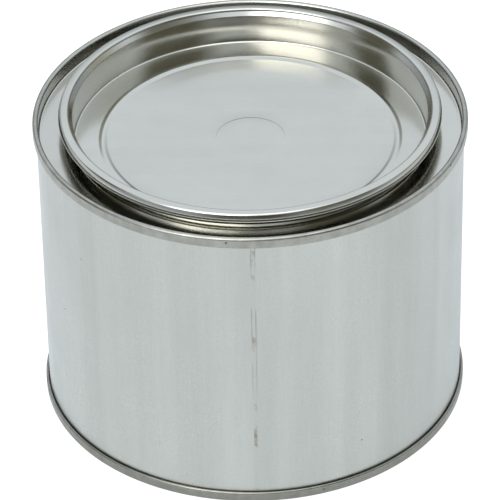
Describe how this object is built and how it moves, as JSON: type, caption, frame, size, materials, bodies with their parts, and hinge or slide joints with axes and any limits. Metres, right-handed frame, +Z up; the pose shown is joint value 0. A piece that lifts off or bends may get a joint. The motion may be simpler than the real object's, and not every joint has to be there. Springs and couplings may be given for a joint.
{
  "type": "paint can",
  "caption": "Squat round tinplate can with double seams, a ring with a plug mouth and a lever lid with a rolled rim.",
  "frame": {"origin": "middle of the foot, on the surface that the can stands on", "axes": "+Z up along the can's axis, -Y towards the front, where the side seam is"},
  "size_m": [0.108, 0.108, 0.0825],
  "materials": {
    "body_tinplate": "satin tinplate",
    "end_tinplate": "bright tinplate",
    "weld_steel": "heat-tinted weld",
    "sealing_compound": "soft lining compound"
  },
  "bodies": {
    "can": {"body_wall": "body_tinplate", "side_seam": "weld_steel", "bottom_end": "end_tinplate", "bottom_seam_compound": "sealing_compound", "top_ring": "end_tinplate", "top_seam_compound": "sealing_compound"},
    "lid": {"lever_lid": "end_tinplate"}
  },
  "joints": [
    {"name": "lid_lift", "type": "slide", "parent": "can", "child": "lid", "axis": [0, 0, 1], "range_m": [0, 0.06]}
  ]
}
